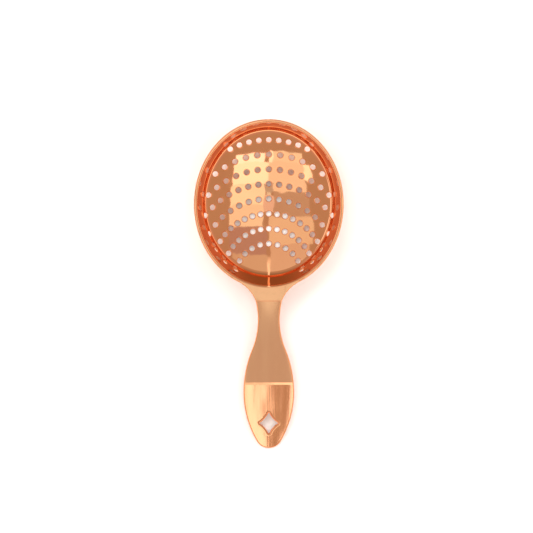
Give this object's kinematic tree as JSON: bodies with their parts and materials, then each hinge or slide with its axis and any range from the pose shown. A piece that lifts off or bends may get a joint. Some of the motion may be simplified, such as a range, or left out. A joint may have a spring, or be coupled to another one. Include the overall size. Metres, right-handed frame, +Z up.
{
  "type": "julep strainer",
  "caption": "Julep strainer: oval perforated bowl with a narrow turned-out lip and a short tongue, spot welded to a leaf-shaped handle with a soft bend and a four-pointed hanging hole.",
  "frame": {"origin": "centre of the bounding box in plan, on the surface that the strainer rests on", "axes": "+Y along the length, from the handle's tip towards the bowl's far end; +X across the bowl; +Z up, out of the bowl's open side, with the strainer tipped back onto its handle as it lies at rest"},
  "size_m": [0.075, 0.165, 0.023],
  "materials": {
    "bowl_copper": "mirror-polished copper plate on steel sheet",
    "handle_copper": "mirror-polished copper plate on steel sheet",
    "weld_steel": "bare weld metal inside the lap"
  },
  "bodies": {
    "root": {"strainer_bowl": "bowl_copper", "handle": "handle_copper", "spot_welds": "weld_steel"}
  },
  "joints": []
}
